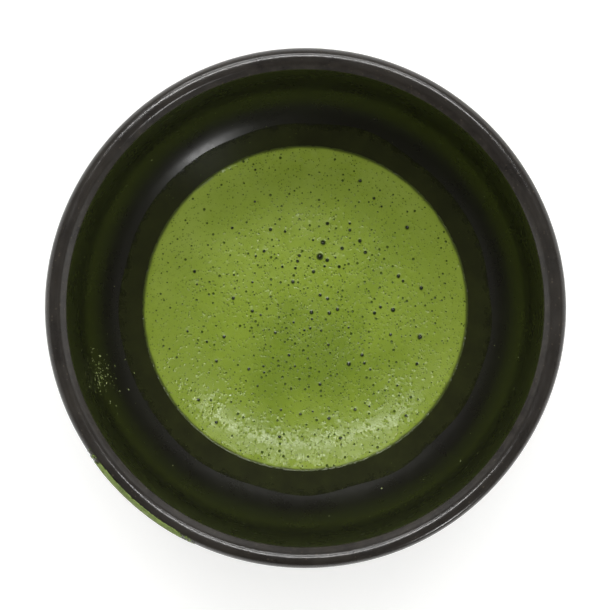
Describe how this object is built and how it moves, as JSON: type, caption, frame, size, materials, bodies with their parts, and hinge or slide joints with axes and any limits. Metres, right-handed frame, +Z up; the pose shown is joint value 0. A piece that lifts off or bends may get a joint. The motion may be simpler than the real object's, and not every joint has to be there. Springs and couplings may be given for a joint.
{
  "type": "tea bowl",
  "caption": "Dark-glazed round tea bowl on a low foot ring, with a bevelled lip and an upright wall, holding whisked green powdered tea under a layer of froth.",
  "frame": {"origin": "centre of the foot ring, on the surface that the bowl stands on", "axes": "+Z up along the bowl's axis of rotation; the run of tea over the lip is towards -X and -Y"},
  "size_m": [0.12, 0.12, 0.075],
  "materials": {
    "bare_clay": "matte",
    "inner_glaze": "gloss",
    "outer_glaze": "satin",
    "liquid_tea": "gloss",
    "tea_froth": "satin",
    "wet_tea_film": "gloss",
    "tea_smear": "matte"
  },
  "bodies": {
    "root": {"clay_body": "bare_clay", "foot_ring": "bare_clay", "inner_glaze": "inner_glaze", "outer_glaze": "outer_glaze", "tea": "liquid_tea", "froth": "tea_froth", "froth_bubbles": "tea_froth", "tea_film": "wet_tea_film", "wall_splashes": "tea_smear", "lip_run": "tea_smear"}
  },
  "joints": []
}
